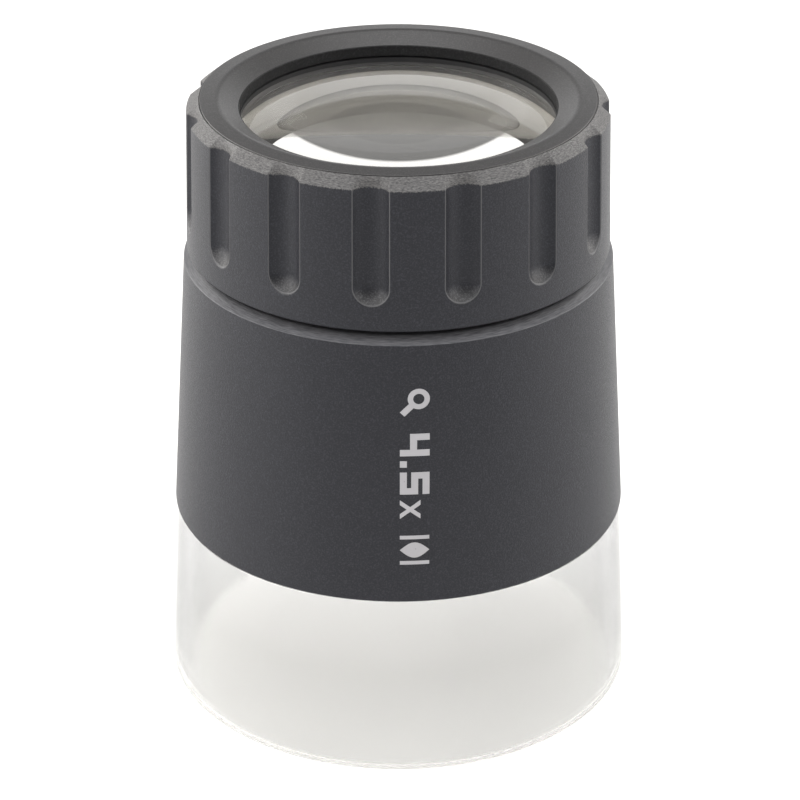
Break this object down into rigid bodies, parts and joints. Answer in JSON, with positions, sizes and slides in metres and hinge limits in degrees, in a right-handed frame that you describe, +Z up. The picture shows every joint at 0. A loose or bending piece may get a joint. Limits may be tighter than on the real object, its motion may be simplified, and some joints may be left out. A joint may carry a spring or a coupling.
{
  "type": "stand loupe",
  "caption": "Focusing stand loupe: fluted ring that turns and lifts a lens barrel over a tapered housing on a clear base skirt.",
  "frame": {"origin": "centre of the base rim on the table", "axes": "+Z up along the optical axis; the housing's printed mark faces -Y"},
  "size_m": [0.055, 0.055, 0.0728],
  "materials": {
    "clear_acrylic": "polished clear acrylic",
    "housing_plastic": "fine satin moulded charcoal plastic",
    "ring_plastic": "satin moulded charcoal plastic, frosted chamfer",
    "rim_plastic": "smooth satin black plastic",
    "inner_plastic": "matt black moulded plastic",
    "barrel_metal": "matt black anodised aluminium",
    "screw_steel": "blackened steel",
    "clip_steel": "phosphated spring steel",
    "slip_plastic": "white low-friction plastic",
    "damping_rubber": "greased black rubber",
    "crown_glass": "polished, coated",
    "flint_glass": "polished, coated"
  },
  "bodies": {
    "housing": {"clear_skirt": "clear_acrylic", "housing": "housing_plastic", "neck_collar": "inner_plastic", "collar_lock_ring": "inner_plastic", "guide_screws": "screw_steel"},
    "lens_barrel": {"lens_barrel": "barrel_metal", "crown_lens": "crown_glass", "flint_lens": "flint_glass", "lens_spacer": "barrel_metal", "lower_lens": "crown_glass", "lens_retainer": "barrel_metal", "barrel_circlip": "clip_steel", "damping_ring": "damping_rubber"},
    "focus_ring": {"focus_ring": "ring_plastic", "eye_rim": "rim_plastic", "lower_slip_washer": "slip_plastic", "upper_slip_washer": "slip_plastic"}
  },
  "joints": [
    {"name": "lens_lift", "type": "slide", "parent": "housing", "child": "lens_barrel", "axis": [0, 0, 1], "range_m": [0, 0.006]},
    {"name": "focus_turn", "type": "hinge", "parent": "lens_barrel", "child": "focus_ring", "pos_m": [0, 0, 0.063], "axis": [0, 0, 1], "range_deg": [0, 300]}
  ],
  "couplings": [
    {"joint": "focus_turn", "follows": "lens_lift", "rad_per_m": 872.66}
  ]
}
